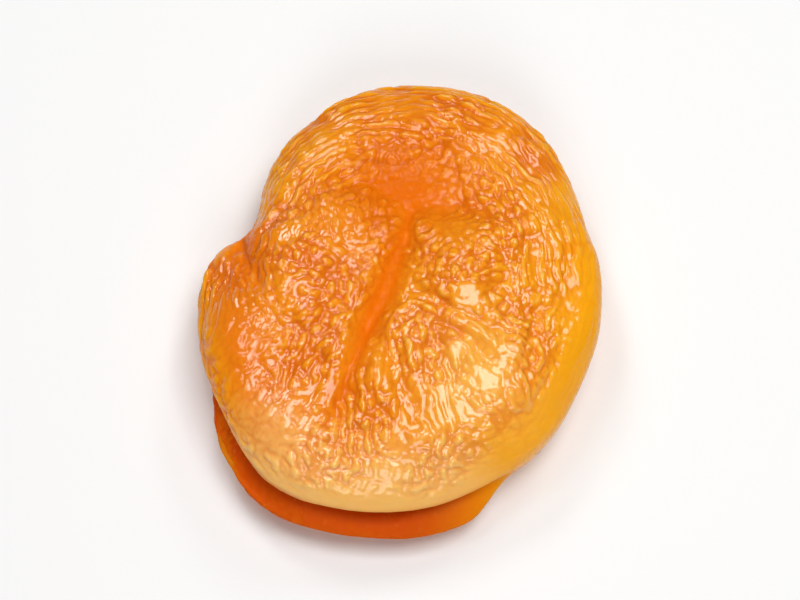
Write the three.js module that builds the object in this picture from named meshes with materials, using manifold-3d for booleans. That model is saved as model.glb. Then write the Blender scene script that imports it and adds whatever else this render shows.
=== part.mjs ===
// A dried apricot: one whole fruit, stoned and pressed flat while it dried, lying on its back.
//
// Millimetres, +Z up. The fruit is one piece. Its upper face has sunk in where the stone was and is
// drawn into folds that run out from that dent. The skin closes round a thick rim, which is parted
// by a slit along its -Y edge, where the stone was squeezed out. It rests on a small flat spot.
//
// The surface is a ball whose points are moved twice: onto a flattened pillow with its dents, folds
// and slit, and then along the skin's own normal by its lumps and wrinkles.

import * as THREE from "three";
import { mergeVertices } from "three/addons/utils/BufferGeometryUtils.js";
import Module from "manifold-3d";

const TAU = 2 * Math.PI;

// ---------------------------------------------------------------- Driving dimensions

// Radius of the outline every 30 degrees, anticlockwise from +X.
const OUTLINE = [18.8, 19.2, 21.6, 20.9, 18.7, 16.6, 18.5, 19.5, 21.8, 21.3, 20.0, 19.2];

// Where the tuck on the left runs out through the rim: its angle, half width and depth, and what
// the lower half of the rim keeps of it.
const NOTCH = { middle: 2.7, half: 0.22, depth: 1.9, below: 0.35 };

const RIM_HEIGHT = 5.5; // middle of the rim above the resting surface
const UPPER_RISE = 6.2; // from the middle of the rim to the crown, before the dent
const LOWER_DROP = 5.7; // from the middle of the rim to the lowest point, before the flat spot
const UPPER_FULLNESS = 2.45; // 2 is an ellipse, more is a fuller pillow
const LOWER_FULLNESS = 2.5;
const RIM_WAVE = [0.5, 0.3]; // how far the rim rises and falls, in two waves and in three

// The slit along the rim: its middle, half width and the half width where it is deepest as angles,
// its depth, half its gape, and how far it lies below the middle of the rim.
const SLIT = { middle: -2.05, half: 1.15, full: 0.5, depth: 2.0, gape: 0.75, below: 0.5 };

// The lip that stands out below the slit, in the same way, and its reach.
const LIP = { middle: -1.84, half: 0.86, full: 0.55, reach: 2.45 };

// Sunken places: middle, radii along X and Y, turn, depth.
const UPPER_DENTS = [
  { at: [0.9, 8.9], radii: [6.2, 5.2], turn: 0.1, depth: 2.2 },
  { at: [-1.6, -3.4], radii: [4.6, 8.4], turn: -0.32, depth: 0.9 },
  { at: [-7.4, -11.8], radii: [3.6, 3.2], turn: 0.6, depth: 0.4 },
];
const LOWER_DENTS = [
  { at: [5.0, 11.5], radii: [5.5, 3.6], turn: 0.5, depth: 1.1 },
  { at: [-11.5, 3.0], radii: [3.4, 6.0], turn: 0.2, depth: 0.9 },
  { at: [3.0, -13.0], radii: [6.5, 2.8], turn: -0.3, depth: 0.7 },
];

// Raised places, given in the same way.
const UPPER_BUMPS = [
  { at: [5.3, -0.9], radii: [2.4, 2.4], turn: 0, height: 0.5 },
  { at: [-9.8, 4.2], radii: [2.0, 3.0], turn: 0.85, height: 0.6 },
  { at: [9.5, -13.0], radii: [4.0, 2.6], turn: 0.7, height: 0.35 },
  { at: [-7.2, 12.6], radii: [4.5, 2.4], turn: 0.7, height: 0.4 },
  { at: [12.4, -1.0], radii: [1.1, 4.5], turn: 0.1, height: 0.4 },
];

// Folds: a valley along a bent line, with a shoulder raised on each side. A step lowers the skin on
// the right of its line, and fades away before the line ends.
const MAIN_FOLD = { line: [[1.2, 6.6], [-0.9, -2.6], [-6.5, -14.6]], depth: 1.1, width: 0.9, step: 0 };
const UPPER_FOLDS = [
  MAIN_FOLD,
  { line: [[1.2, 6.4], [4.8, 7.6], [9.4, 5.4]], depth: 0.6, width: 1.6, step: 0 },
  { line: [[0.2, 7.4], [-3.0, 10.6], [-7.6, 10.0]], depth: 0.7, width: 1.4, step: 0 },
  { line: [[0.6, -0.4], [5.0, -4.8], [12.2, -6.4]], depth: 0.5, width: 0.8, step: 0 },
  { line: [[4.2, -5.0], [7.6, -7.6], [10.6, -12.4]], depth: 0.4, width: 0.8, step: 0 },
  { line: [[12.3, 3.0], [13.3, -3.6], [11.6, -10.4]], depth: 0.6, width: 0.9, step: 0 },
  { line: [[-14.4, 8.0], [-14.2, 3.0], [-12.2, -2.0]], depth: 0.9, width: 1.0, step: 1.3 },
  { line: [[2.2, 10.4], [4.4, 13.0], [4.4, 17.0]], depth: 0.5, width: 1.1, step: 0 },
  { line: [[-3.0, -4.6], [1.2, -8.8], [1.8, -14.8]], depth: 0.5, width: 0.95, step: 0 },
];
const LOWER_FOLDS = [
  { line: [[-13.6, 8.8], [-6.0, 11.4], [2.0, 14.6]], depth: 0.9, width: 1.2, step: 0 },
  { line: [[9.4, -3.0], [11.6, 3.6], [15.4, 6.8]], depth: 0.8, width: 1.1, step: 0 },
  { line: [[-8.6, -6.6], [-11.6, -9.6], [-12.6, -13.8]], depth: 0.8, width: 1.1, step: 0 },
  { line: [[4.0, -9.2], [9.2, -9.8], [13.8, -7.4]], depth: 0.7, width: 1.0, step: 0 },
];
const SHOULDER = 0.25; // of a fold's depth
const VALLEY_ROUND = 0.5; // how rounded a fold's bottom is, in widths
const STEP_SLOPE = 0.9; // half the width over which a step falls

// Random waves in the skin: broad lumps, and wrinkles whose valleys are narrower than their ridges.
const LUMPS = { waves: 14, length: 11, height: 0.34, seed: 11 };
const WRINKLES = { waves: 48, length: 4.4, height: 0.34, seed: 29 };
const UNEVEN = 0.45; // how much higher one wrinkle is than the next
const CREASE = 0.45; // how narrow a wrinkle's valley is
const RIM_PULL = 5; // how strongly wrinkles run along the rim
const RAY_PULL = 1.5; // and, on the front half of the upper face, away from its middle
const RAY_START = 2; // how far behind the middle they start from
const FOLD_PULL = 0.7; // how strongly they run along a fold beside it
const FOLD_REACH = 2; // how far from a fold they still do

// The smooth band round the lower right of the rim, and what it keeps of the wrinkles' height.
const SMOOTH_BAND = { middle: -0.85, half: 1.9, full: 0.85, from: 0.78, to: 0.95, keeps: 0.2 };

// Taut places of the upper face, and what they lose of the wrinkles' height: the dent, the lower
// left and the lower right.
const TAUT = [
  { at: [0.9, 8.9], radii: [6.2, 5.2], turn: 0.1, loss: 0.3 },
  { at: [-14.6, -8.6], radii: [3.8, 6.5], turn: 0.3, loss: 0.65 },
  { at: [7.5, -9.5], radii: [5.0, 4.0], turn: 0.5, loss: 0.3 },
];

// Flat places that the skin of the upper face is stretched over: the knob, two beside the tuck and
// three on the lower right. `press` is how flat, and `lean` how far the skin leans along X and Y.
const FLATS = [
  { at: [6.1, -2.5], radii: [1.4, 1.4], turn: 0, press: 0.72, lean: [0.087, -0.168] },
  { at: [-10.0, 4.0], radii: [1.7, 1.3], turn: 0.4, press: 0.85, lean: [-0.142, 0.115] },
  { at: [-10.3, 8.6], radii: [0.8, 1.2], turn: 0.3, press: 0.5, lean: [-0.142, 0.101] },
  { at: [5.2, -7.5], radii: [0.8, 0.9], turn: 0.3, press: 0.7, lean: [0.09, -0.149] },
  { at: [8.2, -10.0], radii: [1.1, 1.4], turn: -0.5, press: 0.6, lean: [0.078, -0.139] },
  { at: [6.6, -14.0], radii: [2.0, 1.4], turn: -0.6, press: 0.5, lean: [0.09, -0.22] },
];

const FINENESS = 23; // splits of each side of the icosahedron's faces
const APRICOT_ORANGE = "#ee8a12";

// ---------------------------------------------------------------- Small tools

/** Rises smoothly from 0 at a to 1 at b. */
const smooth = (a, b, x) => THREE.MathUtils.smoothstep(x, a, b);

/** The angle from one direction to another, without its sign. */
const turnBetween = (a, b) => Math.abs(Math.atan2(Math.sin(a - b), Math.cos(a - b)));

/** 1 in the middle of a stretch of the rim, falling smoothly to 0 at its ends. */
const stretch = ({ middle, half, full }, angle) => 1 - smooth(full, half, turnBetween(angle, middle));

/** The same numbers between 0 and 1 for the same seed. */
function randomFrom(seed) {
  let state = seed;
  return () => {
    state = (Math.imul(state, 1664525) + 1013904223) >>> 0;
    return state / 2 ** 32;
  };
}

// ---------------------------------------------------------------- The pillow

/** Radius of the outline at an angle: a closed Catmull-Rom curve through OUTLINE. */
function outlineRadius(angle) {
  const count = OUTLINE.length;
  const place = ((((angle / TAU) % 1) + 1) % 1) * count;
  const i = Math.floor(place);
  const t = place - i;
  const [a, b, c, d] = [-1, 0, 1, 2].map((k) => OUTLINE[(i + k + count) % count]);
  return b + 0.5 * t * (c - a + t * (2 * a - 5 * b + 4 * c - d + t * (3 * (b - c) + d - a)));
}

/** How far the notch cuts into the rim, by the sine of the latitude over the rim. */
function notchDepth(angle, up) {
  const cut = Math.exp(-((turnBetween(angle, NOTCH.middle) / NOTCH.half) ** 2));
  return NOTCH.depth * cut * (NOTCH.below + (1 - NOTCH.below) * smooth(-0.5, 0.3, up));
}

/** Share of the outline's radius, and height, at a latitude: 0 is the crown and PI the base. */
function profile(latitude) {
  const across = Math.sin(latitude);
  const up = Math.cos(latitude);
  const power = 2 / (up > 0 ? UPPER_FULLNESS : LOWER_FULLNESS);
  const reach = up > 0 ? UPPER_RISE : LOWER_DROP;
  const height = RIM_HEIGHT + Math.sign(up) * reach * Math.abs(up) ** power;
  return { share: across ** power, height };
}

/** For a latitude on the ball, the profile's, such that all triangles get about the same area. */
function evenSpread() {
  const steps = 2000;
  const radius = OUTLINE.reduce((sum, r) => sum + r) / OUTLINE.length;
  const area = [0];
  for (let i = 0; i < steps; i++) {
    const [a, b] = [i, i + 1].map((k) => profile((Math.PI * k) / steps));
    const slant = Math.hypot(radius * (b.share - a.share), b.height - a.height);
    area.push(area[i] + 0.5 * (a.share + b.share) * slant);
  }
  return (ballLatitude) => {
    const wanted = 0.5 * (1 - Math.cos(ballLatitude)) * area[steps];
    let [low, high] = [0, steps];
    while (high - low > 1) {
      const half = (low + high) >> 1;
      if (area[half] <= wanted) low = half;
      else high = half;
    }
    const part = (wanted - area[low]) / (area[high] - area[low]);
    return (Math.PI * (low + THREE.MathUtils.clamp(part, 0, 1))) / steps;
  };
}

// ---------------------------------------------------------------- Dents, bumps and folds

/** A round hump, 1 in its middle. */
function hump({ at, radii, turn }, x, y) {
  const [dx, dy] = [x - at[0], y - at[1]];
  const u = (dx * Math.cos(turn) + dy * Math.sin(turn)) / radii[0];
  const v = (dy * Math.cos(turn) - dx * Math.sin(turn)) / radii[1];
  return Math.exp(-(u * u + v * v));
}

/** A fold with its line bent through the middle point's pull, as short straight pieces. */
function bend(fold) {
  const [a, b, c] = fold.line.map(([x, y]) => new THREE.Vector2(x, y));
  return { ...fold, points: new THREE.QuadraticBezierCurve(a, b, c).getPoints(16) };
}

/** Where a place lies beside a fold: how far away, how far along, on which side, and its way. */
function besideFold({ points }, x, y) {
  let nearest = { away: Infinity };
  const last = points.length - 1;
  for (let i = 0; i < last; i++) {
    const [a, b] = [points[i], points[i + 1]];
    const [ex, ey, px, py] = [b.x - a.x, b.y - a.y, x - a.x, y - a.y];
    const t = THREE.MathUtils.clamp((px * ex + py * ey) / (ex * ex + ey * ey), 0, 1);
    const away = Math.hypot(px - t * ex, py - t * ey);
    if (away < nearest.away) {
      const side = Math.sign(ex * py - ey * px);
      nearest = { away, along: (i + t) / last, side, way: new THREE.Vector3(ex, ey, 0) };
    }
  }
  nearest.way.normalize();
  return nearest;
}

/** Height that a fold adds at a place: its valley, its two shoulders and its step. */
function foldHeight(fold, x, y) {
  const { away, along, side } = besideFold(fold, x, y);
  const taper = Math.sin(Math.PI * (0.12 + 0.88 * along)) ** 0.7;
  const off = away / fold.width;
  const valley = -Math.exp(VALLEY_ROUND - Math.hypot(off, VALLEY_ROUND));
  const shoulder = SHOULDER * Math.exp(-((off - 2.2) ** 2) / 1.4);
  const lowered = 0.5 * (1 - Math.tanh((side * away) / STEP_SLOPE)) * Math.exp(-off / 9);
  const fade = 1 - smooth(0.35, 1, along);
  return taper * fold.depth * (valley + shoulder) - fade * fold.step * lowered;
}

// ---------------------------------------------------------------- Waves in the skin

/** Waves of nearly one length, in random directions. */
function makeWaves({ waves, length, seed }) {
  const random = randomFrom(seed);
  return Array.from({ length: waves }, () => {
    const turn = TAU * random();
    const rise = 2 * random() - 1;
    const flat = Math.sqrt(1 - rise * rise);
    const way = new THREE.Vector3(flat * Math.cos(turn), flat * Math.sin(turn), rise);
    return { way, number: TAU / (length * (0.85 + 0.3 * random())), phase: TAU * random() };
  });
}

/** Height of the waves at a place, spread about 0 by 1. Ridges follow each grain by its pull. */
function waveHeight(waves, place, normal, grains) {
  let [sum, power] = [0, 1e-6];
  for (const { way, number, phase } of waves) {
    const pulled = grains.reduce((all, [grain, pull]) => all + pull * way.dot(grain) ** 2, 0);
    const weight = (1 - way.dot(normal) ** 2) ** 2 * Math.exp(-pulled);
    sum += weight * Math.cos(number * way.dot(place) + phase);
    power += 0.5 * weight * weight;
  }
  return sum / Math.sqrt(power);
}

// ---------------------------------------------------------------- The skin

const UPPER = { dents: UPPER_DENTS, bumps: UPPER_BUMPS, folds: UPPER_FOLDS.map(bend) };
const LOWER = { dents: LOWER_DENTS, bumps: [], folds: LOWER_FOLDS.map(bend) };
const crossed = MAIN_FOLD.line; // wrinkles run across this fold's line and not along it
const spread = evenSpread();
const lumps = makeWaves(LUMPS);
const wrinkles = makeWaves(WRINKLES);

/** How far the dents, bumps and folds of one face raise its skin. */
function faceRelief({ dents, bumps, folds }, x, y) {
  const sunk = dents.reduce((sum, dent) => sum + dent.depth * hump(dent, x, y), 0);
  const raised = bumps.reduce((sum, bump) => sum + bump.height * hump(bump, x, y), 0);
  return folds.reduce((sum, fold) => sum + foldHeight(fold, x, y), raised - sunk);
}

/** Moves a point of the ball onto the fruit, still without its wrinkles. */
function formPoint(point) {
  const angle = Math.atan2(point.y, point.x);
  const latitude = spread(Math.acos(THREE.MathUtils.clamp(point.z, -1, 1)));
  const { share, height } = profile(latitude);
  const up = Math.cos(latitude);
  const slit = stretch(SLIT, angle);

  const lip = LIP.reach * stretch(LIP, angle) * smooth(0, 0.35, -up);
  const gap = SLIT.depth * slit * Math.exp(-(((height - RIM_HEIGHT + SLIT.below) / SLIT.gape) ** 2));
  const edge = outlineRadius(angle) + lip - notchDepth(angle, up);
  const radius = edge * share - gap * smooth(0.5, 0.9, share);
  const [x, y] = [radius * Math.cos(angle), radius * Math.sin(angle)];

  const wave = RIM_WAVE[0] * Math.cos(2 * angle - 1.1) + RIM_WAVE[1] * Math.cos(3 * angle + 0.7);
  const upper = smooth(0.05, 0.6, up) * faceRelief(UPPER, x, y);
  const lower = smooth(0.05, 0.6, -up) * faceRelief(LOWER, x, y);
  point.set(x, y, height + wave * share ** 3 + upper - lower);
}

/** What the wrinkles of the upper face lose of their height at a place. */
function tautness(x, y) {
  return Math.min(TAUT.reduce((sum, place) => sum + place.loss * hump(place, x, y), 0), 0.9);
}

/** How far wrinkles and lumps lift the skin at a place. */
function skinLift(place, normal) {
  const out = Math.hypot(place.x, place.y);
  const angle = Math.atan2(place.y, place.x);
  const share = out / outlineRadius(angle);
  const rimGrain = new THREE.Vector3(-place.y, place.x, 0).divideScalar(Math.max(out, 1e-6));
  const ray = new THREE.Vector3(place.x, place.y - RAY_START, 0).normalize();
  const front = (1 - smooth(-8, 2, place.y)) * smooth(0.2, 0.7, normal.z);
  const grains = [
    [rimGrain, RIM_PULL * (1 - 0.9 * front) * smooth(0.45, 0.95, share)],
    [ray, RAY_PULL * front * smooth(0.15, 0.4, share)],
  ];
  for (const fold of (place.z > RIM_HEIGHT ? UPPER : LOWER).folds) {
    if (fold.line === crossed) continue;
    const { away, way } = besideFold(fold, place.x, place.y);
    grains.push([way, FOLD_PULL * Math.exp(-((away / FOLD_REACH) ** 2))]);
  }

  const wave = waveHeight(wrinkles, place, normal, grains);
  const wrinkle = UNEVEN * Math.tanh(wave) - Math.exp(-((wave / CREASE) ** 2));
  const lump = Math.tanh(waveHeight(lumps, place, normal, []));
  const band = stretch(SMOOTH_BAND, angle) * smooth(SMOOTH_BAND.from, SMOOTH_BAND.to, share);
  const side = 1 - 0.6 * smooth(0.35, 0.95, 1 - Math.abs(normal.z));
  const foot = normal.z < 0 ? smooth(0.25, 0.5, share) : 1;
  const taut = place.z > RIM_HEIGHT ? tautness(place.x, place.y) : 0;
  const calm = (1 - (1 - SMOOTH_BAND.keeps) * band) * (1 - taut) * side * foot;
  return WRINKLES.height * calm * wrinkle + LUMPS.height * side * foot * lump;
}

/** Presses the skin of the upper face towards a plane at one of its flat places. */
function flatten(places, flat) {
  const { at, press, lean } = flat;
  const pressed = [];
  let [sum, weight] = [0, 0];
  for (let i = 0; i < places.count; i++) {
    const [x, y, z] = [places.getX(i), places.getY(i), places.getZ(i)];
    const share = z > RIM_HEIGHT ? press * smooth(0.15, 0.6, hump(flat, x, y)) : 0;
    if (share === 0) continue;
    const above = z + lean[0] * (x - at[0]) + lean[1] * (y - at[1]);
    pressed.push({ i, z, share, above });
    sum += share * above;
    weight += share;
  }
  for (const { i, z, share, above } of pressed) {
    places.setZ(i, z - share * (above - sum / weight));
  }
}

/** The whole fruit, before its flat spot is cut. */
function makeSkin() {
  const ball = new THREE.IcosahedronGeometry(1, FINENESS);
  ball.deleteAttribute("normal");
  ball.deleteAttribute("uv");
  const skin = mergeVertices(ball, 1e-5);
  const places = skin.getAttribute("position");
  const point = new THREE.Vector3();
  for (let i = 0; i < places.count; i++) {
    point.fromBufferAttribute(places, i).normalize();
    formPoint(point);
    places.setXYZ(i, point.x, point.y, point.z);
  }
  skin.computeVertexNormals();
  const normals = skin.getAttribute("normal");
  const normal = new THREE.Vector3();
  for (let i = 0; i < places.count; i++) {
    point.fromBufferAttribute(places, i);
    normal.fromBufferAttribute(normals, i);
    point.addScaledVector(normal, skinLift(point, normal));
    places.setXYZ(i, point.x, point.y, point.z);
  }
  for (const flat of FLATS) flatten(places, flat);
  skin.deleteAttribute("normal");
  return skin;
}

// ---------------------------------------------------------------- The flat spot

/** A closed geometry as a solid. */
function toSolid(wasm, geometry) {
  const merged = mergeVertices(geometry, 1e-5);
  const vertProperties = merged.getAttribute("position").array;
  const triVerts = new Uint32Array(merged.index.array);
  return new wasm.Manifold(new wasm.Mesh({ numProp: 3, vertProperties, triVerts }));
}

/** A solid as a geometry. */
function toGeometry(solid) {
  const { vertProperties, triVerts } = solid.getMesh();
  return new THREE.BufferGeometry()
    .setAttribute("position", new THREE.BufferAttribute(vertProperties, 3))
    .setIndex(new THREE.BufferAttribute(triVerts, 1));
}

/** Cuts away what lies below the resting surface. */
function restFlat(wasm, geometry) {
  const size = 80;
  const below = new THREE.BoxGeometry(size, size, size).translate(0, 0, -size / 2);
  below.deleteAttribute("normal");
  below.deleteAttribute("uv");
  return toGeometry(toSolid(wasm, geometry).subtract(toSolid(wasm, below)));
}

/** Puts the middle of the fruit's box over the origin. */
function centre(geometry) {
  geometry.computeBoundingBox();
  const middle = geometry.boundingBox.getCenter(new THREE.Vector3());
  return geometry.translate(-middle.x, -middle.y, -geometry.boundingBox.min.z);
}

// ---------------------------------------------------------------- The part

const wasm = await Module();
wasm.setup();

const flesh = new THREE.MeshStandardMaterial({ color: APRICOT_ORANGE, roughness: 0.42 });
const apricot = new THREE.Mesh(centre(restFlat(wasm, makeSkin())), flesh);
apricot.name = "apricot";

const part = new THREE.Group();
part.add(apricot);
export default part;
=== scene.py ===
"""A dried apricot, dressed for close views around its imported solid.

The fruit is one piece of skin. It has the solid's outline, dents, folds and slit, and over them the
fine wrinkles that the solid only hints at. Shapes are worked out in millimetres, in the solid's own
frame, and become metres when the mesh is made.
"""

import math

import bpy
import numpy as np
from bpy.props import FloatProperty, FloatVectorProperty, IntProperty, PointerProperty
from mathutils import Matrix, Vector


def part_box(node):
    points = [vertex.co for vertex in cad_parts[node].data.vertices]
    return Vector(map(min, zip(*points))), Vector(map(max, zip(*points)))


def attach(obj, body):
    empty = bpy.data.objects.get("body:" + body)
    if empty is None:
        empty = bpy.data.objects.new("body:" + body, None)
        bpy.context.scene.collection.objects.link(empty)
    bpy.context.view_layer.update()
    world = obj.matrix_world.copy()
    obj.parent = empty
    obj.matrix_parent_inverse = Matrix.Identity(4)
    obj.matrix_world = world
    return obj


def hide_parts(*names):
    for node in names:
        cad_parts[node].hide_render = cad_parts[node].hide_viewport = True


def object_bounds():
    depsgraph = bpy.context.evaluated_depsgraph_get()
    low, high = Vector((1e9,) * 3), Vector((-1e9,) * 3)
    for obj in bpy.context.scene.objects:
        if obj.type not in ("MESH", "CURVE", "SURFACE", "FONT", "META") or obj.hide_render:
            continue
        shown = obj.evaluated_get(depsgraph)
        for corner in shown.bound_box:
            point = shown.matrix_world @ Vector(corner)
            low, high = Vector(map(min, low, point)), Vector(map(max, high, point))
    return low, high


bl_info = {
    "name": "Dried apricot",
    "version": (1, 0, 0),
    "blender": (4, 5, 0),
    "location": "3D View > Sidebar > Apricot",
    "description": "Makes a dried apricot's wrinkled skin and a plain studio round it",
    "category": "Object",
}

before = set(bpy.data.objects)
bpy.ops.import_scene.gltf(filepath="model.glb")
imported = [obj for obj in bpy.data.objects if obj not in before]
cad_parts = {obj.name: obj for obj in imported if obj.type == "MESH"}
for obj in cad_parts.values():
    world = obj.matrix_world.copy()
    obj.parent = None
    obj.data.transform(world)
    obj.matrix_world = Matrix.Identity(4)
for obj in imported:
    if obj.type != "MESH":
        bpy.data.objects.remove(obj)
SOLID_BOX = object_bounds()

MM = 0.001
TAU = 2 * math.pi

# ------------------------------------------------------------------ The fruit's form, millimetres

# Radius of the outline every 30 degrees, anticlockwise from +X.
OUTLINE = (18.8, 19.2, 21.6, 20.9, 18.7, 16.6, 18.5, 19.5, 21.8, 21.3, 20.0, 19.2)

# Where the tuck on the left runs out through the rim, what the rim's lower half keeps of it, and
# between which latitudes, as cosines, it comes in.
NOTCH = dict(middle=2.7, half=0.22, depth=1.9, below=0.35)
NOTCH_RISE = (-0.5, 0.3)

RIM_HEIGHT = 5.5
UPPER_RISE = 6.2
LOWER_DROP = 5.7
UPPER_FULLNESS = 2.45  # 2 is an ellipse, more is a fuller pillow
LOWER_FULLNESS = 2.5

# How the rim rises and falls: waves round the fruit, their height and their phase.
RIM_WAVES = ((2, 0.5, -1.1), (3, 0.3, 0.7))

# The slit along the rim, and the lip that juts out under it: middle, half width and the half width
# over which it is full, as angles.
SLIT = dict(middle=-2.05, half=1.15, full=0.5)
SLIT_DEPTH = 2.0
SLIT_GAPE = 0.7
SLIT_BELOW = 0.5  # how far the slit lies under the rim's highest line
LIP = dict(middle=-1.84, half=0.86, full=0.55)
LIP_REACH = 2.45

# The latitudes, as cosines, over which the lip, the red flesh in the slit with the painted shade on
# the lip under it, and the relief of each face come in, and the shares of the outline's radius over
# which the slit deepens.
LIP_RISE = (0, 0.35)
INNER_RISE = (0.2, -0.1)
FACE_RISE = (0.05, 0.6)
SLIT_SHARES = (0.5, 0.9)

# Sunken and raised places: middle, radii along X and Y, turn, and how far down or up.
UPPER_DENTS = (
    ((0.9, 8.9), (6.2, 5.2), 0.1, 2.2),
    ((-1.6, -3.4), (4.6, 8.4), -0.32, 0.9),
    ((-7.4, -11.8), (3.6, 3.2), 0.6, 0.4),
)
LOWER_DENTS = (
    ((5.0, 11.5), (5.5, 3.6), 0.5, 1.1),
    ((-11.5, 3.0), (3.4, 6.0), 0.2, 0.9),
    ((3.0, -13.0), (6.5, 2.8), -0.3, 0.7),
)
UPPER_BUMPS = (
    ((5.3, -0.9), (2.4, 2.4), 0.0, 0.5),
    ((-9.8, 4.2), (2.0, 3.0), 0.85, 0.6),
    ((9.5, -13.0), (4.0, 2.6), 0.7, 0.35),
    ((-7.2, 12.6), (4.5, 2.4), 0.7, 0.4),
    ((12.4, -1.0), (1.1, 4.5), 0.1, 0.4),
)

# Folds: start, pull and end of a bent line, then depth, width and the step down on its right.
UPPER_FOLDS = (
    (((1.2, 6.6), (-0.9, -2.6), (-6.5, -14.6)), 1.1, 0.8, 0),
    (((1.2, 6.4), (4.8, 7.6), (9.4, 5.4)), 0.6, 1.6, 0),
    (((0.2, 7.4), (-3.0, 10.6), (-7.6, 10.0)), 0.7, 1.4, 0),
    (((0.6, -0.4), (5.0, -4.8), (12.2, -6.4)), 0.4, 0.6, 0),
    (((4.2, -5.0), (7.6, -7.6), (10.6, -12.4)), 0.3, 0.6, 0),
    (((12.3, 3.0), (13.3, -3.6), (11.6, -10.4)), 0.5, 0.7, 0),
    (((-14.4, 8.0), (-14.2, 3.0), (-12.2, -2.0)), 0.9, 0.9, 1.3),
    (((2.2, 10.4), (4.4, 13.0), (4.4, 17.0)), 0.5, 1.1, 0),
    (((-3.0, -4.6), (1.2, -8.8), (1.8, -14.8)), 0.5, 0.8, 0),
)
LOWER_FOLDS = (
    (((-13.6, 8.8), (-6.0, 11.4), (2.0, 14.6)), 0.9, 1.2, 0),
    (((9.4, -3.0), (11.6, 3.6), (15.4, 6.8)), 0.8, 1.1, 0),
    (((-8.6, -6.6), (-11.6, -9.6), (-12.6, -13.8)), 0.8, 1.1, 0),
    (((4.0, -9.2), (9.2, -9.8), (13.8, -7.4)), 0.7, 1.0, 0),
)
SHOULDER = 0.25  # of a fold's depth
SHOULDER_PLACE = 2.2  # how far beside the fold its shoulder rises, in widths
SHOULDER_SPREAD = 1.4  # the square of the shoulder's half width, in widths
VALLEY_ROUND = 0.45  # how rounded a fold's bottom is, in widths
STEP_SLOPE = 0.7  # half the width over which a step falls
STEP_REACH = 9  # how far beside the fold the step fades out, in widths
STEP_FADE = (1, 0.35)  # the parts of the fold between which the step comes in, from its end
FOLD_START = 0.12  # how far a fold has swelled where it begins, as a part of its whole swell
DEEP_FOLD_WIDTH = 1.3  # how wide a fold's deep colour is, in widths
DEEP_FOLD_DEPTHS = (0.4, 1.1)  # the depths of folds over which that colour comes in

# Random waves in the skin: how many, their length and their seed.
LUMPS = dict(waves=14, length=11.0, seed=11)
COARSE_WRINKLES = dict(waves=48, length=4.4, seed=29)
MIDDLE_WRINKLES = dict(waves=64, length=1.5, seed=47)
FINE_WRINKLES = dict(waves=72, length=0.9, seed=83)
PATCHES = dict(waves=12, length=7.5, seed=61)
LENGTH_SPREAD = 0.3  # how much the lengths of one set of waves differ

# How wide the wrinkles' creases are, and how uneven the ridges between them.
COARSE_SHAPE = dict(crease=0.45, uneven=0.45)
MIDDLE_SHAPE = dict(crease=0.7, uneven=0.25)
FINE_SHAPE = dict(crease=0.7, uneven=0.3)
FINE_IN_COLOUR = 0.5  # how much the fine wrinkles count beside the middle ones in the colours

PATCHINESS = 0.5  # how much higher and lower the wrinkles are from patch to patch
LUMP_HEIGHT = 0.34
RIM_PULL = 5.0  # how strongly wrinkles run along the rim
FRONT_PULL = 0.1  # the part of that pull that the front half of the face keeps
RAY_PULL = 1.5  # and, on the front half of the face, away from its middle
RAY_START = 2.0  # how far behind the middle
FOLD_PULL = 0.7  # and along a fold beside it
FOLD_REACH = 2.0  # how far from a fold they still do

# Shares of the outline's radius between which these come in: the pull along the rim, the pull away
# from the middle, and the wrinkles round the spot that the fruit rests on.
RIM_SHARES = (0.45, 0.95)
RAY_SHARES = (0.15, 0.4)
FOOT_SHARES = (0.25, 0.5)

# Where the front half of the face begins and where it is whole, along Y, and how level it is.
FRONT_HALF = (2, -8)
FACE_SLOPES = (0.2, 0.7)

# What the fruit's upright side loses of the wrinkles' height, and how upright it is there.
SIDE_LOSS = 0.6
SIDE_SLOPES = (0.35, 0.95)

# The smooth band round the lower right of the rim, the shares of the outline's radius between which
# it begins, and what it keeps of the wrinkles' height. Along the creamy front of the rim the finer
# wrinkles run further out, and end between the second shares.
SMOOTH_BAND = dict(middle=-0.85, half=1.9, full=0.85)
BAND_SHARES = (0.78, 0.95)
BAND_KEEPS = 0.2
FRONT_SHARES = (0.99, 0.91)

# Taut places, and what they lose of the wrinkles' height: the dent, the lower left and the lower
# right. The deepest fold's sides are taut too, and no place loses more than TAUT_MOST.
TAUT = (
    (*UPPER_DENTS[0][:3], 0.3),
    ((-14.6, -8.6), (3.8, 6.5), 0.3, 0.65),
    ((7.5, -9.5), (5.0, 4.0), 0.5, 0.3),
)
TAUT_FOLD = 0.4
TAUT_MOST = 0.9

# Flat places that the skin is stretched over: middle, radii, turn, how flat, and how far the skin
# leans along X and Y there.
FLATS = (
    ((6.1, -2.5), (1.4, 1.4), 0.0, 0.72, (0.087, -0.168)),
    ((-10.0, 4.0), (1.7, 1.3), 0.4, 0.85, (-0.142, 0.115)),
    ((-10.3, 8.6), (0.8, 1.2), 0.3, 0.5, (-0.142, 0.101)),
    ((5.2, -7.5), (0.8, 0.9), 0.3, 0.7, (0.090, -0.149)),
    ((8.2, -10.0), (1.1, 1.4), -0.5, 0.6, (0.078, -0.139)),
    ((6.6, -14.0), (2.0, 1.4), -0.6, 0.5, (0.090, -0.220)),
)
FLAT_EDGE = (0.15, 0.6)  # how steeply a flat place gives way to the skin round it

# Painted light: places on the face painted paler, and how pale: the lower right and the upper left.
PAINTED_LIGHT_PLACES = (
    ((7.0, -9.5), (6.5, 5.0), 0.5, 1.0),
    ((-9.0, 12.0), (6.0, 3.5), 0.7, 0.7),
)

# A creamy place on the lower right, and how creamy.
CREAM_PLACE = ((7.4, -10.5), (4.6, 5.5), 0.5, 0.5)
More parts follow.
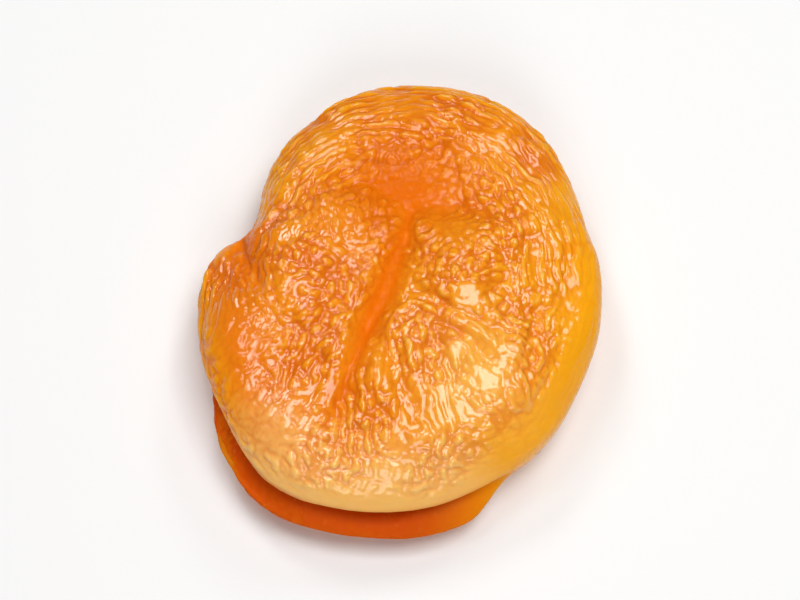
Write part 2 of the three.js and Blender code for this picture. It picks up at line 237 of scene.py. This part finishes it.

# Where the rim is thin and creamy, and where it is deeper in colour, towards the lower left:
# stretches of the rim, and the shares of the outline's radius over which they come in.
CREAM_RIM = dict(middle=-1.75, half=0.8, full=0.4)
CREAM_SHARES = (0.6, 0.95)
DEEP_RIM = dict(middle=-2.8, half=0.95, full=0.55)
DEEP_RIM_SHARES = (0.55, 0.8)

# The heights between which the face's cream and its painted light come in.
FACE_HEIGHTS = (RIM_HEIGHT - 1.5, RIM_HEIGHT + 1)

# How golden the whole rim is outside the smooth band, and the shares over which it turns so.
GOLD_RIM = 0.75
GOLD_SHARES = (0.85, 0.98)

# Painted light: the face is painted paler towards the lower right, its lit side: the way, and how
# far along it the change runs.
LIGHT_WAY = (0.85, -0.53)
LIGHT_REACH = (-8, 26)


# ------------------------------------------------------------------ Small tools


def smooth(low, high, x):
    """Rises smoothly from 0 at low to 1 at high."""
    t = np.clip((x - low) / (high - low), 0, 1)
    return t * t * (3 - 2 * t)


def turn_between(a, b):
    """The angle from one direction to another, without its sign."""
    return np.abs(np.arctan2(np.sin(a - b), np.cos(a - b)))


def stretch(middle, half, full, angle):
    """1 in the middle of a stretch of the rim, falling smoothly to 0 at its ends."""
    return 1 - smooth(full, half, turn_between(angle, middle))


def random_from(seed):
    """The same numbers between 0 and 1 for the same seed, and for the solid's."""
    while True:
        seed = (seed * 1664525 + 1013904223) % 2**32
        yield seed / 2**32


# ------------------------------------------------------------------ The pillow


def outline_radius(angle):
    """Radius of the outline: a closed Catmull-Rom curve through OUTLINE."""
    place = angle / TAU % 1 * len(OUTLINE)
    first = np.floor(place).astype(int)
    t = place - first
    a, b, c, d = (np.take(OUTLINE, first + k, mode="wrap") for k in (-1, 0, 1, 2))
    return b + 0.5 * t * (c - a + t * (2 * a - 5 * b + 4 * c - d + t * (3 * (b - c) + d - a)))


def notch_depth(angle, up):
    """How far the notch cuts into the rim."""
    cut = np.exp(-((turn_between(angle, NOTCH["middle"]) / NOTCH["half"]) ** 2))
    kept = NOTCH["below"] + (1 - NOTCH["below"]) * smooth(*NOTCH_RISE, up)
    return NOTCH["depth"] * cut * kept


def profile(latitude):
    """Share of the outline's radius, and height, at a latitude: 0 is the crown, pi the base."""
    up = np.cos(latitude)
    power = 2 / np.where(up > 0, UPPER_FULLNESS, LOWER_FULLNESS)
    reach = np.where(up > 0, UPPER_RISE, LOWER_DROP)
    height = RIM_HEIGHT + np.sign(up) * reach * np.abs(up) ** power
    return np.abs(np.sin(latitude)) ** power, height


def spread_evenly(latitude, steps=2000):
    """Moves latitudes on a ball to the profile's, so that all faces get about the same area."""
    places = np.linspace(0, math.pi, steps + 1)
    share, height = profile(places)
    slant = np.hypot(np.mean(OUTLINE) * np.diff(share), np.diff(height))
    area = np.append(0, np.cumsum(0.5 * (share[1:] + share[:-1]) * slant))
    return np.interp(0.5 * (1 - np.cos(latitude)) * area[-1], area, places)


# ------------------------------------------------------------------ Dents, bumps and folds


def hump(x, y, middle, radii, turn):
    """A round hump, 1 in its middle."""
    dx, dy = x - middle[0], y - middle[1]
    u = (dx * math.cos(turn) + dy * math.sin(turn)) / radii[0]
    v = (dy * math.cos(turn) - dx * math.sin(turn)) / radii[1]
    return np.exp(-(u * u + v * v))


def beside_fold(line, x, y, pieces=16):
    """Where places lie beside a bent line: how far away, how far along, which side, and its way."""
    start, pull, end = (np.array(point) for point in line)
    t = np.linspace(0, 1, pieces + 1)[:, None]
    points = (1 - t) ** 2 * start + 2 * t * (1 - t) * pull + t * t * end
    nearest = np.full(x.shape, np.inf)
    part, side = np.zeros(x.shape), np.ones(x.shape)
    way = np.zeros((len(x), 3))
    for i in range(pieces):
        (ex, ey), px, py = points[i + 1] - points[i], x - points[i][0], y - points[i][1]
        t = np.clip((px * ex + py * ey) / (ex * ex + ey * ey), 0, 1)
        away = np.hypot(px - t * ex, py - t * ey)
        closer = away < nearest
        nearest[closer] = away[closer]
        part[closer] = (i + t[closer]) / pieces
        side[closer] = np.sign(ex * py - ey * px)[closer]
        way[closer, :2] = np.array((ex, ey)) / math.hypot(ex, ey)
    return nearest, part, side, way


def fold_height(fold, x, y):
    """Height that a fold adds: its valley, its two shoulders and its step."""
    line, depth, width, step = fold
    away, part, side, _ = beside_fold(line, x, y)
    taper = np.abs(np.sin(math.pi * (FOLD_START + (1 - FOLD_START) * part))) ** 0.7
    off = away / width
    valley = -np.exp(VALLEY_ROUND - np.hypot(off, VALLEY_ROUND))
    shoulder = SHOULDER * np.exp(-((off - SHOULDER_PLACE) ** 2) / SHOULDER_SPREAD)
    lowered = 0.5 * (1 - np.tanh(side * away / STEP_SLOPE)) * np.exp(-off / STEP_REACH)
    return taper * depth * (valley + shoulder) - step * lowered * smooth(*STEP_FADE, part)


def face_relief(dents, bumps, folds, x, y):
    """How far the dents, bumps and folds of one face raise its skin."""
    sunk = sum(depth * hump(x, y, *shape) for *shape, depth in dents)
    raised = sum(height * hump(x, y, *shape) for *shape, height in bumps)
    return raised - sunk + sum(fold_height(fold, x, y) for fold in folds)


def along_deep_folds(folds, x, y):
    """1 along the deepest folds, falling to 0 beside them."""
    deep_fold = np.zeros(x.shape)
    for line, depth, width, _ in folds:
        away, part, _, _ = beside_fold(line, x, y)
        here = (1 - part**6) * np.exp(-((away / (DEEP_FOLD_WIDTH * width)) ** 2))
        deep_fold = np.maximum(deep_fold, here * smooth(*DEEP_FOLD_DEPTHS, depth))
    return deep_fold


# ------------------------------------------------------------------ Waves in the skin


def make_waves(waves, length, seed):
    """Waves of nearly one length, in random directions: their ways, numbers and phases."""
    draw = random_from(seed)
    made = []
    for _ in range(waves):
        turn, rise = TAU * next(draw), 2 * next(draw) - 1
        flat = math.sqrt(1 - rise * rise)
        way = (flat * math.cos(turn), flat * math.sin(turn), rise)
        number = TAU / (length * (1 + LENGTH_SPREAD * (next(draw) - 0.5)))
        made.append((way, number, TAU * next(draw)))
    return made


def wave_height(waves, places, normals, grains):
    """Height of the waves, spread about 0 by 1. Ridges follow each grain by its pull."""
    total, power = np.zeros(len(places)), np.full(len(places), 1e-6)
    for way, number, phase in waves:
        pulled = sum(pull * (grain @ way) ** 2 for grain, pull in grains)
        weight = (1 - (normals @ way) ** 2) ** 2 * np.exp(-pulled)
        total += weight * np.cos(number * (places @ way) + phase)
        power += 0.5 * weight * weight
    return total / np.sqrt(power)


def crumple(wave, crease, uneven):
    """Rounded ridges with narrow valleys between them, from waves about 0."""
    return uneven * np.tanh(wave) - np.exp(-((wave / crease) ** 2))


# ------------------------------------------------------------------ The skin's mesh


def make_ball(splits):
    """Points and four-cornered faces of a ball of radius 1, made of six square nets."""
    steps = np.arange(splits + 1)
    i, j = np.meshgrid(steps, steps, indexing="ij")
    across, up = 2 * i - splits, 2 * j - splits
    nets = [
        np.roll(np.stack((np.full_like(i, side * splits), side * across, up), -1), axis, -1)
        for axis in range(3)
        for side in (1, -1)
    ]
    corner = np.arange(len(nets) * i.size).reshape(len(nets), *i.shape)
    quads = np.stack(
        (corner[:, :-1, :-1], corner[:, 1:, :-1], corner[:, 1:, 1:], corner[:, :-1, 1:]), -1
    )
    lattice, merged = np.unique(np.reshape(nets, (-1, 3)), axis=0, return_inverse=True)
    points = np.tan(lattice / splits * math.pi / 4)
    points /= np.linalg.norm(points, axis=1, keepdims=True)
    return points, merged.reshape(-1)[quads.reshape(-1, 4)]


def point_normals(points, quads):
    """The skin's outward directions at its points."""
    a, b, c, d = (points[quads[:, k]] for k in range(4))
    across = np.cross(c - a, d - b)
    normals = np.zeros_like(points)
    for k in range(4):
        np.add.at(normals, quads[:, k], across)
    return normals / np.linalg.norm(normals, axis=1, keepdims=True)


def form_points(ball):
    """Moves the ball's points onto the fruit. Gives how sunk each is, and its share of the slit's
    red flesh and of the painted shade on the lip under it.
    """
    angle = np.arctan2(ball[:, 1], ball[:, 0])
    latitude = spread_evenly(np.arccos(np.clip(ball[:, 2], -1, 1)))
    share, height = profile(latitude)
    up = np.cos(latitude)
    slit = stretch(angle=angle, **SLIT)

    lip = LIP_REACH * stretch(angle=angle, **LIP) * smooth(*LIP_RISE, -up)
    level = RIM_HEIGHT - SLIT_BELOW
    gap = SLIT_DEPTH * slit * np.exp(-(((height - level) / SLIT_GAPE) ** 2))
    edge = outline_radius(angle) + lip - notch_depth(angle, up)
    radius = edge * share - gap * smooth(*SLIT_SHARES, share)
    x, y = radius * np.cos(angle), radius * np.sin(angle)

    wave = sum(rise * np.cos(count * angle + phase) for count, rise, phase in RIM_WAVES)
    upper = smooth(*FACE_RISE, up) * face_relief(UPPER_DENTS, UPPER_BUMPS, UPPER_FOLDS, x, y)
    lower = smooth(*FACE_RISE, -up) * face_relief(LOWER_DENTS, (), LOWER_FOLDS, x, y)
    points = np.stack((x, y, height + wave * share**3 + upper - lower), -1)
    dent = hump(x, y, *UPPER_DENTS[0][:3]) * (up > 0)
    deep_fold = np.where(up > 0, along_deep_folds(UPPER_FOLDS, x, y), along_deep_folds(LOWER_FOLDS, x, y))
    return points, np.maximum(dent, deep_fold), slit * smooth(*INNER_RISE, up) * share**4


def crumple_skin(points, normals, sizes):
    """Lifts the skin by its lumps and wrinkles.

    Gives the points, the height of each one's finer wrinkles and its share of the smooth band.
    """
    x, y, z = points.T
    out = np.hypot(x, y)
    angle = np.arctan2(y, x)
    share = out / outline_radius(angle)
    rim_grain = np.stack((-y, x, 0 * x), -1) / np.maximum(out, 1e-6)[:, None]
    rays = np.stack((x, y - RAY_START, 0 * x), -1)
    rays /= np.maximum(np.linalg.norm(rays, axis=1, keepdims=True), 1e-6)
    front = smooth(*FRONT_HALF, y) * smooth(*FACE_SLOPES, normals[:, 2])
    grains = [
        (rim_grain, RIM_PULL * (1 - (1 - FRONT_PULL) * front) * smooth(*RIM_SHARES, share)),
        (rays, RAY_PULL * front * smooth(*RAY_SHARES, share)),
    ]
    for folds, here in ((UPPER_FOLDS[1:], z > RIM_HEIGHT), (LOWER_FOLDS, z <= RIM_HEIGHT)):
        for line, *_ in folds:
            away, _, _, way = beside_fold(line, x, y)
            grains.append((way, FOLD_PULL * here * np.exp(-((away / FOLD_REACH) ** 2))))

    band = stretch(angle=angle, **SMOOTH_BAND) * smooth(*BAND_SHARES, share)
    side = 1 - SIDE_LOSS * smooth(*SIDE_SLOPES, 1 - np.abs(normals[:, 2]))
    foot = np.where(normals[:, 2] < 0, smooth(*FOOT_SHARES, share), 1)
    taut = sum(loss * hump(x, y, *shape) for *shape, loss in TAUT)
    taut += TAUT_FOLD * along_deep_folds(UPPER_FOLDS[:1], x, y)
    taut = np.minimum(taut, TAUT_MOST) * (z > RIM_HEIGHT)
    calm = (1 - taut) * side * foot
    fine_band = band * (1 - stretch(angle=angle, **CREAM_RIM) * smooth(*FRONT_SHARES, share))
    kept, fine_kept = (1 - (1 - BAND_KEEPS) * part for part in (band, fine_band))

    coarse, middle, fine = (
        crumple(wave_height(make_waves(**waves), points, normals, grains), **shape)
        for waves, shape in (
            (COARSE_WRINKLES, COARSE_SHAPE),
            (MIDDLE_WRINKLES, MIDDLE_SHAPE),
            (FINE_WRINKLES, FINE_SHAPE),
        )
    )
    heights = np.array((sizes.coarse_height, sizes.middle_height, sizes.fine_height)) / MM
    lump = np.tanh(wave_height(make_waves(**LUMPS), points, normals, []))
    calm *= 1 + PATCHINESS * np.tanh(wave_height(make_waves(**PATCHES), points, normals, []))
    lift = calm * (heights @ (kept * coarse, fine_kept * middle, fine_kept * fine))
    lift += LUMP_HEIGHT * side * foot * lump
    # The wrinkles' height, which the painted highlights on their crests and the painted shade in
    # their furrows follow.
    ridge = calm * fine_kept * (middle + FINE_IN_COLOUR * fine) / (1 + FINE_IN_COLOUR)
    return flatten(points + normals * lift[:, None], ridge, fine_band)


def flatten(points, ridge, band):
    """Presses the flat places of the upper face towards their planes, and clears their wrinkles."""
    x, y, z = points.T
    for at, radii, turn, how_flat, (lean_x, lean_y) in FLATS:
        near = hump(x, y, at, radii, turn)
        press = how_flat * smooth(*FLAT_EDGE, near) * (z > RIM_HEIGHT)
        tilted = z + lean_x * (x - at[0]) + lean_y * (y - at[1])
        level = (press * tilted).sum() / press.sum()
        z = z - press * (tilted - level)
        ridge = ridge * (1 - press)
    return np.stack((x, y, z), -1), ridge, band


def fit_to_solid(points, name):
    """Moves the points, in millimetres, to fill the box of the solid, in metres."""
    low, high = (np.array(corner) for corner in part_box(name))
    points = np.maximum(points, (-np.inf, -np.inf, 0))
    least, most = points.min(axis=0), points.max(axis=0)
    return low + (points - least) * (high - low) / (most - least)


def mesh_object(name, points, quads, values):
    """A smooth object of four-cornered faces, with named values at its points."""
    mesh = bpy.data.meshes.new(name)
    mesh.vertices.add(len(points))
    mesh.vertices.foreach_set("co", points.astype(np.float32).ravel())
    mesh.loops.add(quads.size)
    mesh.loops.foreach_set("vertex_index", quads.astype(np.int32).ravel())
    mesh.polygons.add(len(quads))
    mesh.polygons.foreach_set("loop_start", np.arange(0, quads.size, 4, dtype=np.int32))
    mesh.update(calc_edges=True)
    mesh.validate()
    mesh.shade_smooth()
    for key, value in values.items():
        layer = mesh.attributes.new(key, "FLOAT", "POINT")
        layer.data.foreach_set("value", value.astype(np.float32))
    made = bpy.data.objects.new(name, mesh)
    bpy.context.scene.collection.objects.link(made)
    return made


def make_skin(sizes):
    """The whole skin of the fruit."""
    ball, quads = make_ball(sizes.splits)
    form, sunk, inner = form_points(ball)
    normals = point_normals(form, quads)
    points, fine, band = crumple_skin(form, normals, sizes)
    x, y, z = points.T
    angle = np.arctan2(y, x)
    share = np.hypot(x, y) / outline_radius(angle)
    above = smooth(*FACE_HEIGHTS, z)
    # Places painted paler, a painted light.
    painted_light = sum(much * hump(x, y, *place) for *place, much in PAINTED_LIGHT_PLACES)
    *creamy_place, much = CREAM_PLACE
    cream = stretch(angle=angle, **CREAM_RIM) * smooth(*CREAM_SHARES, share)
    across = LIGHT_WAY[0] * x + LIGHT_WAY[1] * y
    values = {
        "sunk": sunk,
        # Wrinkle height, for the painted highlights and painted shade.
        "ridge": fine,
        "gold": np.maximum(band, GOLD_RIM * smooth(*GOLD_SHARES, share)),
        "cream": np.maximum(cream, much * hump(x, y, *creamy_place)) * above,
        "deep_rim": stretch(angle=angle, **DEEP_RIM) * smooth(*DEEP_RIM_SHARES, share),
        # Painted light: paler towards the lower right and at the places painted as lit, on the
        # upper face.
        "painted_light_side": np.maximum(smooth(*LIGHT_REACH, across), painted_light) * above,
        # The slit's red flesh, and the painted shade on the lip under it.
        "slit": inner,
    }
    return mesh_object("apricot_skin", fit_to_solid(points, "apricot"), quads, values)


# ------------------------------------------------------------------ Finish

# How fine the noises in the flesh are, and how many layers each has.
PATCHY = dict(scale=160, detail=3)
SPECKLED = dict(scale=900, detail=2)
CREASED = dict(scale=1000, detail=2)
GRAINY = dict(scale=2600, detail=4)

# How much of each colour shows at most, and how much deeper and less deep the flesh is in patches.
DEEP_RIM_MOST = 0.6
GOLD_MOST = 0.8
CREAM_MOST = 0.9
PATCH_DEPTH = 0.7

# Painted highlight on the wrinkles' crests, painted shade in their furrows: the heights over which
# each comes in, and its least and most. The dark side keeps CREST_SHADE of the crests' highlight,
# and the furrows lose FURROW_LOSS of their painted shade on the light side and on creamy flesh.
CREST_HIGHLIGHT_RAMP = (0.0, 0.3, 0.0, 0.7)
FURROW_SHADE_RAMP = (-0.15, -0.75, 0.0, 0.9)
CREST_SHADE = 0.4
FURROW_LOSS = 0.45

# Relief too fine for the mesh, in millimetres: grain, and creases, which the golden rim nearly
# lacks.
CREASE_WIDTHS = (0.0, 0.12, 0.0, 1.0)
CREASE_HEIGHT = 0.05
CREASE_STRENGTH = 0.2
GOLD_CREASE_STRENGTH = 0.02
GRAIN_HEIGHT = 0.06
GRAIN_STRENGTH = 0.3

# The surface: its roughness from speck to speck, and how wet skin bends and scatters light.
ROUGHNESS = (0.3, 0.7, 0.22, 0.34)
SLIT_ROUGHNESS = 0.25
GOLD_DULLNESS = 0.7
SCATTER = (1.0, 0.45, 0.08)
FLESH_IOR = 1.4
FLESH_SHINE = 0.06
COAT_ROUGHNESS = 0.12
COAT_IOR = 1.5

PAPER_GRAIN = dict(scale=900, detail=3)
PAPER_GRAIN_HEIGHT = 0.02
PAPER_ROUGHNESS = 0.9


def new_material(name):
    """A material with only its output, and a maker of linked nodes for it."""
    material = bpy.data.materials.new(name)
    material.use_nodes = True
    tree = material.node_tree
    tree.nodes.clear()

    def node(kind, inputs=(), **settings):
        made = tree.nodes.new(kind)
        for key, value in settings.items():
            setattr(made, key, value)
        for key, value in dict(inputs).items():
            if isinstance(value, bpy.types.NodeSocket):
                tree.links.new(value, made.inputs[key])
            else:
                made.inputs[key].default_value = value
        return made

    return material, node


def maths(node, operation, a, b=0.0, c=0.0):
    """One sum on numbers."""
    made = node("ShaderNodeMath", {0: a, 1: b, 2: c}, operation=operation)
    return made.outputs[0]


def mix(node, share, a, b):
    """A share of colour b over colour a."""
    made = node("ShaderNodeMix", {0: share, 6: a, 7: (*b, 1)}, data_type="RGBA")
    return made.outputs[2]


def ramp(node, value, start, end, low, high):
    """Runs from low to high while the value runs from start to end."""
    made = node("ShaderNodeMapRange", {0: value, 1: start, 2: end, 3: low, 4: high})
    return made.outputs[0]


def clamp(node, value):
    """The value, held between 0 and 1."""
    return node("ShaderNodeClamp", {"Value": value}).outputs[0]


def noise(node, place, scale, detail):
    """Cloudy noise about 0.5."""
    made = node("ShaderNodeTexNoise", {"Vector": place, "Scale": scale, "Detail": detail})
    return made.outputs["Fac"]


def flesh_material(look):
    """Moist, see-through orange flesh under a thin wrinkled skin."""
    material, node = new_material("apricot_flesh")
    value = {
        key: node("ShaderNodeAttribute", attribute_name=key).outputs["Fac"]
        for key in ("sunk", "ridge", "gold", "cream", "deep_rim", "painted_light_side", "slit")
    }
    place = node("ShaderNodeTexCoord").outputs["Object"]
    patches = noise(node, place, **PATCHY)
    specks = noise(node, place, **SPECKLED)

    deep = maths(node, "MULTIPLY_ADD", patches, PATCH_DEPTH, -PATCH_DEPTH / 2)
    deep = clamp(node, maths(node, "ADD", value["sunk"], deep))
    # Painted light: the lit side is painted towards the rim's paler colour.
    colour = mix(node, value["painted_light_side"], (*look.body, 1), look.rim)
    for key, most, tint in (
        ("deep_rim", DEEP_RIM_MOST, look.deep),
        ("gold", GOLD_MOST, look.rim),
        ("cream", CREAM_MOST, look.cream),
    ):
        colour = mix(node, maths(node, "MULTIPLY", value[key], most), colour, tint)
    # Deeper, darker colour in the dents and along the deepest folds, and in patches.
    colour = mix(node, deep, colour, look.deep)
    # Red flesh in the slit, and painted shade on the lip under it.
    colour = mix(node, value["slit"], colour, look.inner)
    # Painted highlight: the wrinkles' crests are painted paler, most on the lit side.
    lit = maths(node, "MULTIPLY_ADD", value["painted_light_side"], 1 - CREST_SHADE, CREST_SHADE)
    painted_crest_highlight = maths(node, "MULTIPLY", ramp(node, value["ridge"], *CREST_HIGHLIGHT_RAMP), lit)
    colour = mix(node, painted_crest_highlight, colour, look.painted_light)
    # Painted shade: the furrows between the wrinkles are painted darker, less so on the lit side
    # and on creamy flesh.
    shaded = maths(node, "MULTIPLY_ADD", value["painted_light_side"], -FURROW_LOSS, 1.0)
    shaded = maths(node, "MULTIPLY_ADD", value["cream"], -FURROW_LOSS, shaded)
    painted_furrow_shade = maths(node, "MULTIPLY", ramp(node, value["ridge"], *FURROW_SHADE_RAMP), shaded)
    colour = mix(node, painted_furrow_shade, colour, look.painted_furrow_shade)

    dull = maths(node, "MULTIPLY_ADD", value["gold"], GOLD_DULLNESS, value["slit"])
    dull = clamp(node, maths(node, "ADD", value["sunk"], dull))
    gloss = maths(node, "MULTIPLY_ADD", dull, -look.coat, look.coat)
    rough = ramp(node, specks, *ROUGHNESS)
    rough = maths(node, "MULTIPLY_ADD", value["slit"], SLIT_ROUGHNESS, rough)

    creases = maths(node, "SUBTRACT", noise(node, place, **CREASED), 0.5)
    creases = ramp(node, maths(node, "ABSOLUTE", creases), *CREASE_WIDTHS)
    golden = GOLD_CREASE_STRENGTH - CREASE_STRENGTH
    wrinkled = maths(node, "MULTIPLY_ADD", value["gold"], golden, CREASE_STRENGTH)
    creased = node(
        "ShaderNodeBump",
        {"Height": creases, "Strength": wrinkled, "Distance": CREASE_HEIGHT * MM},
    )
    grain = node(
        "ShaderNodeBump",
        {
            "Height": noise(node, place, **GRAINY),
            "Strength": GRAIN_STRENGTH,
            "Distance": GRAIN_HEIGHT * MM,
            "Normal": creased.outputs[0],
        },
    )
    shader = node(
        "ShaderNodeBsdfPrincipled",
        {
            "Base Color": colour,
            "Roughness": rough,
            "IOR": FLESH_IOR,
            "Specular IOR Level": FLESH_SHINE,
            "Subsurface Weight": look.translucency,
            "Subsurface Radius": SCATTER,
            "Subsurface Scale": look.depth,
            "Coat Weight": gloss,
            "Coat Roughness": COAT_ROUGHNESS,
            "Coat IOR": COAT_IOR,
            "Normal": grain.outputs[0],
        },
        subsurface_method="RANDOM_WALK",
    )
    node("ShaderNodeOutputMaterial", {"Surface": shader.outputs[0]})
    return material


def floor_material(colour):
    """Plain matt paper."""
    material, node = new_material("floor_paper")
    place = node("ShaderNodeTexCoord").outputs["Object"]
    grain = noise(node, place, **PAPER_GRAIN)
    bump = node("ShaderNodeBump", {"Height": grain, "Distance": PAPER_GRAIN_HEIGHT * MM})
    shader = node(
        "ShaderNodeBsdfPrincipled",
        {"Base Color": (*colour, 1), "Roughness": PAPER_ROUGHNESS, "Normal": bump.outputs[0]},
    )
    node("ShaderNodeOutputMaterial", {"Surface": shader.outputs[0]})
    return material


# ------------------------------------------------------------------ Studio

# Lights: azimuth and elevation in degrees, size in metres, and how fully each lights a white face.
LIGHTS = {
    "top": (100, 78, 0.22, 0.42),
    "left": (-118, 68, 0.10, 0.06),
    "back_left": (-152, 49, 0.10, 0.12),
    "back_right": (150, 44, 0.09, 0.07),
    "front": (0, 40, 0.20, 0.20),
}
LIGHT_DISTANCE = 0.45
WORLD_STRENGTH = 0.05
FLOOR_SIZE = 4.0
FLOOR_GAP = 0.00002  # keeps the floor's face off the spot that the fruit rests on
NEAREST_SEEN = 0.001  # from the camera


def direction(azimuth, elevation):
    """Unit vector towards a place round the fruit: azimuth 0 is in front, at -Y."""
    flat = math.cos(elevation)
    return Vector((math.sin(azimuth) * flat, -math.cos(azimuth) * flat, math.sin(elevation)))


def aim(thing, target):
    """Turns a light or camera towards a place."""
    thing.rotation_euler = (target - thing.location).to_track_quat("-Z", "Y").to_euler()


def add_light(name, target, azimuth, elevation, size, share):
    """A square soft light. Share 1 alone lights a white face at the target fully."""
    lamp = bpy.data.lights.new(name, "AREA")
    lamp.size = size
    lamp.energy = share * math.pi**2 * LIGHT_DISTANCE**2
    made = bpy.data.objects.new(name, lamp)
    towards = direction(math.radians(azimuth), math.radians(elevation))
    made.location = target + LIGHT_DISTANCE * towards
    aim(made, target)
    bpy.context.scene.collection.objects.link(made)


def make_floor(material):
    """A square floor under the fruit."""
    half = FLOOR_SIZE / 2
    mesh = bpy.data.meshes.new("floor")
    corners = [(-half, -half, 0), (half, -half, 0), (half, half, 0), (-half, half, 0)]
    mesh.from_pydata(corners, [], [(0, 1, 2, 3)])
    mesh.materials.append(material)
    floor = bpy.data.objects.new("floor", mesh)
    floor.location.z = SOLID_BOX[0].z - FLOOR_GAP
    bpy.context.scene.collection.objects.link(floor)


def make_camera(studio, target):
    """The camera looks down on the fruit from in front."""
    lens = bpy.data.cameras.new("camera")
    lens.lens = studio.focal_length
    lens.clip_start = NEAREST_SEEN
    camera = bpy.data.objects.new("camera", lens)
    back = direction(studio.azimuth, studio.elevation)
    camera.location = target + studio.distance * back
    aim(camera, target)
    bpy.context.scene.collection.objects.link(camera)
    bpy.context.scene.camera = camera


# ------------------------------------------------------------------ Settings


class SkinSizes(bpy.types.PropertyGroup):
    """Sizes of the skin's mesh and wrinkles."""

    splits: IntProperty(
        name="Fineness",
        description="Faces along each side of the six nets that the skin starts from",
        default=128,
        min=16,
        max=128,
    )
    coarse_height: FloatProperty(
        name="Coarse wrinkles",
        description="Height of the wrinkles that show from a step away",
        default=0.00016,
        unit="LENGTH",
    )
    middle_height: FloatProperty(
        name="Middle wrinkles",
        description="Height of the wrinkles that lie about a millimetre apart",
        default=0.00019,
        unit="LENGTH",
    )
    fine_height: FloatProperty(
        name="Fine wrinkles",
        description="Height of the wrinkles that lie half a millimetre apart",
        default=0.00009,
        unit="LENGTH",
    )


class FleshLook(bpy.types.PropertyGroup):
    """Colours and depth of the flesh, and its painted highlights, painted light and painted shade.
    """

    body: FloatVectorProperty(
        name="Body",
        description="Most of the skin",
        subtype="COLOR",
        default=(0.90, 0.285, 0.006),
    )
    deep: FloatVectorProperty(
        name="Deep",
        description="Dents and folds",
        subtype="COLOR",
        default=(0.80, 0.16, 0.002),
    )
    # Also the colour that the lit side of the face is painted towards, a painted light.
    rim: FloatVectorProperty(
        name="Rim",
        description="The smooth thin rim",
        subtype="COLOR",
        default=(0.96, 0.39, 0.006),
    )
    cream: FloatVectorProperty(
        name="Cream",
        description="Thin front rim",
        subtype="COLOR",
        default=(1.0, 0.54, 0.15),
    )
    # Painted highlight on the crests of the wrinkles.
    painted_light: FloatVectorProperty(
        name="Ridges",
        description="Crests of the wrinkles",
        subtype="COLOR",
        default=(0.97, 0.62, 0.14),
    )
    # Painted shade in the furrows between the wrinkles.
    painted_furrow_shade: FloatVectorProperty(
        name="Furrows",
        description="Between the wrinkles",
        subtype="COLOR",
        default=(0.73, 0.15, 0.002),
    )
    # The red flesh inside the slit, and painted shade on the lip under it.
    inner: FloatVectorProperty(
        name="Slit",
        description="Flesh inside the slit",
        subtype="COLOR",
        default=(0.62, 0.068, 0.001),
    )
    translucency: FloatProperty(
        name="Translucency", description="How much light passes under the skin", default=0.25
    )
    depth: FloatProperty(
        name="Light depth", description="How deep that light goes", default=0.0025, unit="LENGTH"
    )
    coat: FloatProperty(name="Moist gloss", description="Gloss of the moist skin", default=1.0)


class StudioSettings(bpy.types.PropertyGroup):
    """The floor, the lights and the camera."""

    floor: FloatVectorProperty(
        name="Floor",
        description="Colour of the floor",
        subtype="COLOR",
        default=(0.92, 0.92, 0.915),
    )
    azimuth: FloatProperty(
        name="Camera azimuth", description="0 is in front", subtype="ANGLE", default=0.0
    )
    elevation: FloatProperty(
        name="Camera elevation",
        description="Above the horizon",
        subtype="ANGLE",
        default=math.radians(69),
    )
    distance: FloatProperty(
        name="Camera distance", description="From the fruit", unit="LENGTH", default=0.205
    )
    focal_length: FloatProperty(
        name="Focal length", description="Of the camera, in millimetres", default=100.0
    )
    brightness: FloatProperty(name="Brightness", description="Of all lights", default=1.44)


# ------------------------------------------------------------------ Operators


class APRICOT_OT_skin(bpy.types.Operator):
    """Make the fruit's wrinkled skin"""

    bl_idname = "apricot.make_skin"
    bl_label = "Skin"

    def execute(self, context):
        skin = make_skin(context.scene.apricot_sizes)
        skin.data.materials.append(flesh_material(context.scene.apricot_look))
        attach(skin, "root")
        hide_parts("apricot")
        return {"FINISHED"}


class APRICOT_OT_studio(bpy.types.Operator):
    """Make the floor, the lights and the camera"""

    bl_idname = "apricot.make_studio"
    bl_label = "Studio"

    def execute(self, context):
        studio = context.scene.apricot_studio
        low, high = SOLID_BOX
        middle = (low + high) / 2
        make_floor(floor_material(studio.floor))
        for name, (azimuth, elevation, size, share) in LIGHTS.items():
            add_light(name, middle, azimuth, elevation, size, share * studio.brightness)
        world = bpy.data.worlds.new("studio")
        world.use_nodes = True
        sky = world.node_tree.nodes["Background"]
        sky.inputs["Color"].default_value = (1, 1, 1, 1)
        sky.inputs["Strength"].default_value = WORLD_STRENGTH * studio.brightness
        context.scene.world = world
        make_camera(studio, middle)
        context.scene.view_settings.view_transform = "Standard"
        return {"FINISHED"}


class APRICOT_PT_panel(bpy.types.Panel):
    """Everything that makes the fruit, in the 3D view's sidebar"""

    bl_idname = "APRICOT_PT_panel"
    bl_label = "Dried apricot"
    bl_space_type = "VIEW_3D"
    bl_region_type = "UI"
    bl_category = "Apricot"

    def draw(self, context):
        scene = context.scene
        for settings, operator in (
            ((scene.apricot_sizes, scene.apricot_look), APRICOT_OT_skin),
            ((scene.apricot_studio,), APRICOT_OT_studio),
        ):
            box = self.layout.box()
            for group in settings:
                for name in group.__annotations__:
                    box.prop(group, name)
            box.operator(operator.bl_idname)


CLASSES = (
    SkinSizes,
    FleshLook,
    StudioSettings,
    APRICOT_OT_skin,
    APRICOT_OT_studio,
    APRICOT_PT_panel,
)


def register():
    for made in CLASSES:
        bpy.utils.register_class(made)
    bpy.types.Scene.apricot_sizes = PointerProperty(type=SkinSizes)
    bpy.types.Scene.apricot_look = PointerProperty(type=FleshLook)
    bpy.types.Scene.apricot_studio = PointerProperty(type=StudioSettings)


def unregister():
    for name in ("apricot_sizes", "apricot_look", "apricot_studio"):
        delattr(bpy.types.Scene, name)
    for made in reversed(CLASSES):
        bpy.utils.unregister_class(made)


def main():
    """Makes everything in order."""
    register()
    bpy.ops.apricot.make_skin()
    bpy.ops.apricot.make_studio()


if __name__ == "__main__":
    main()
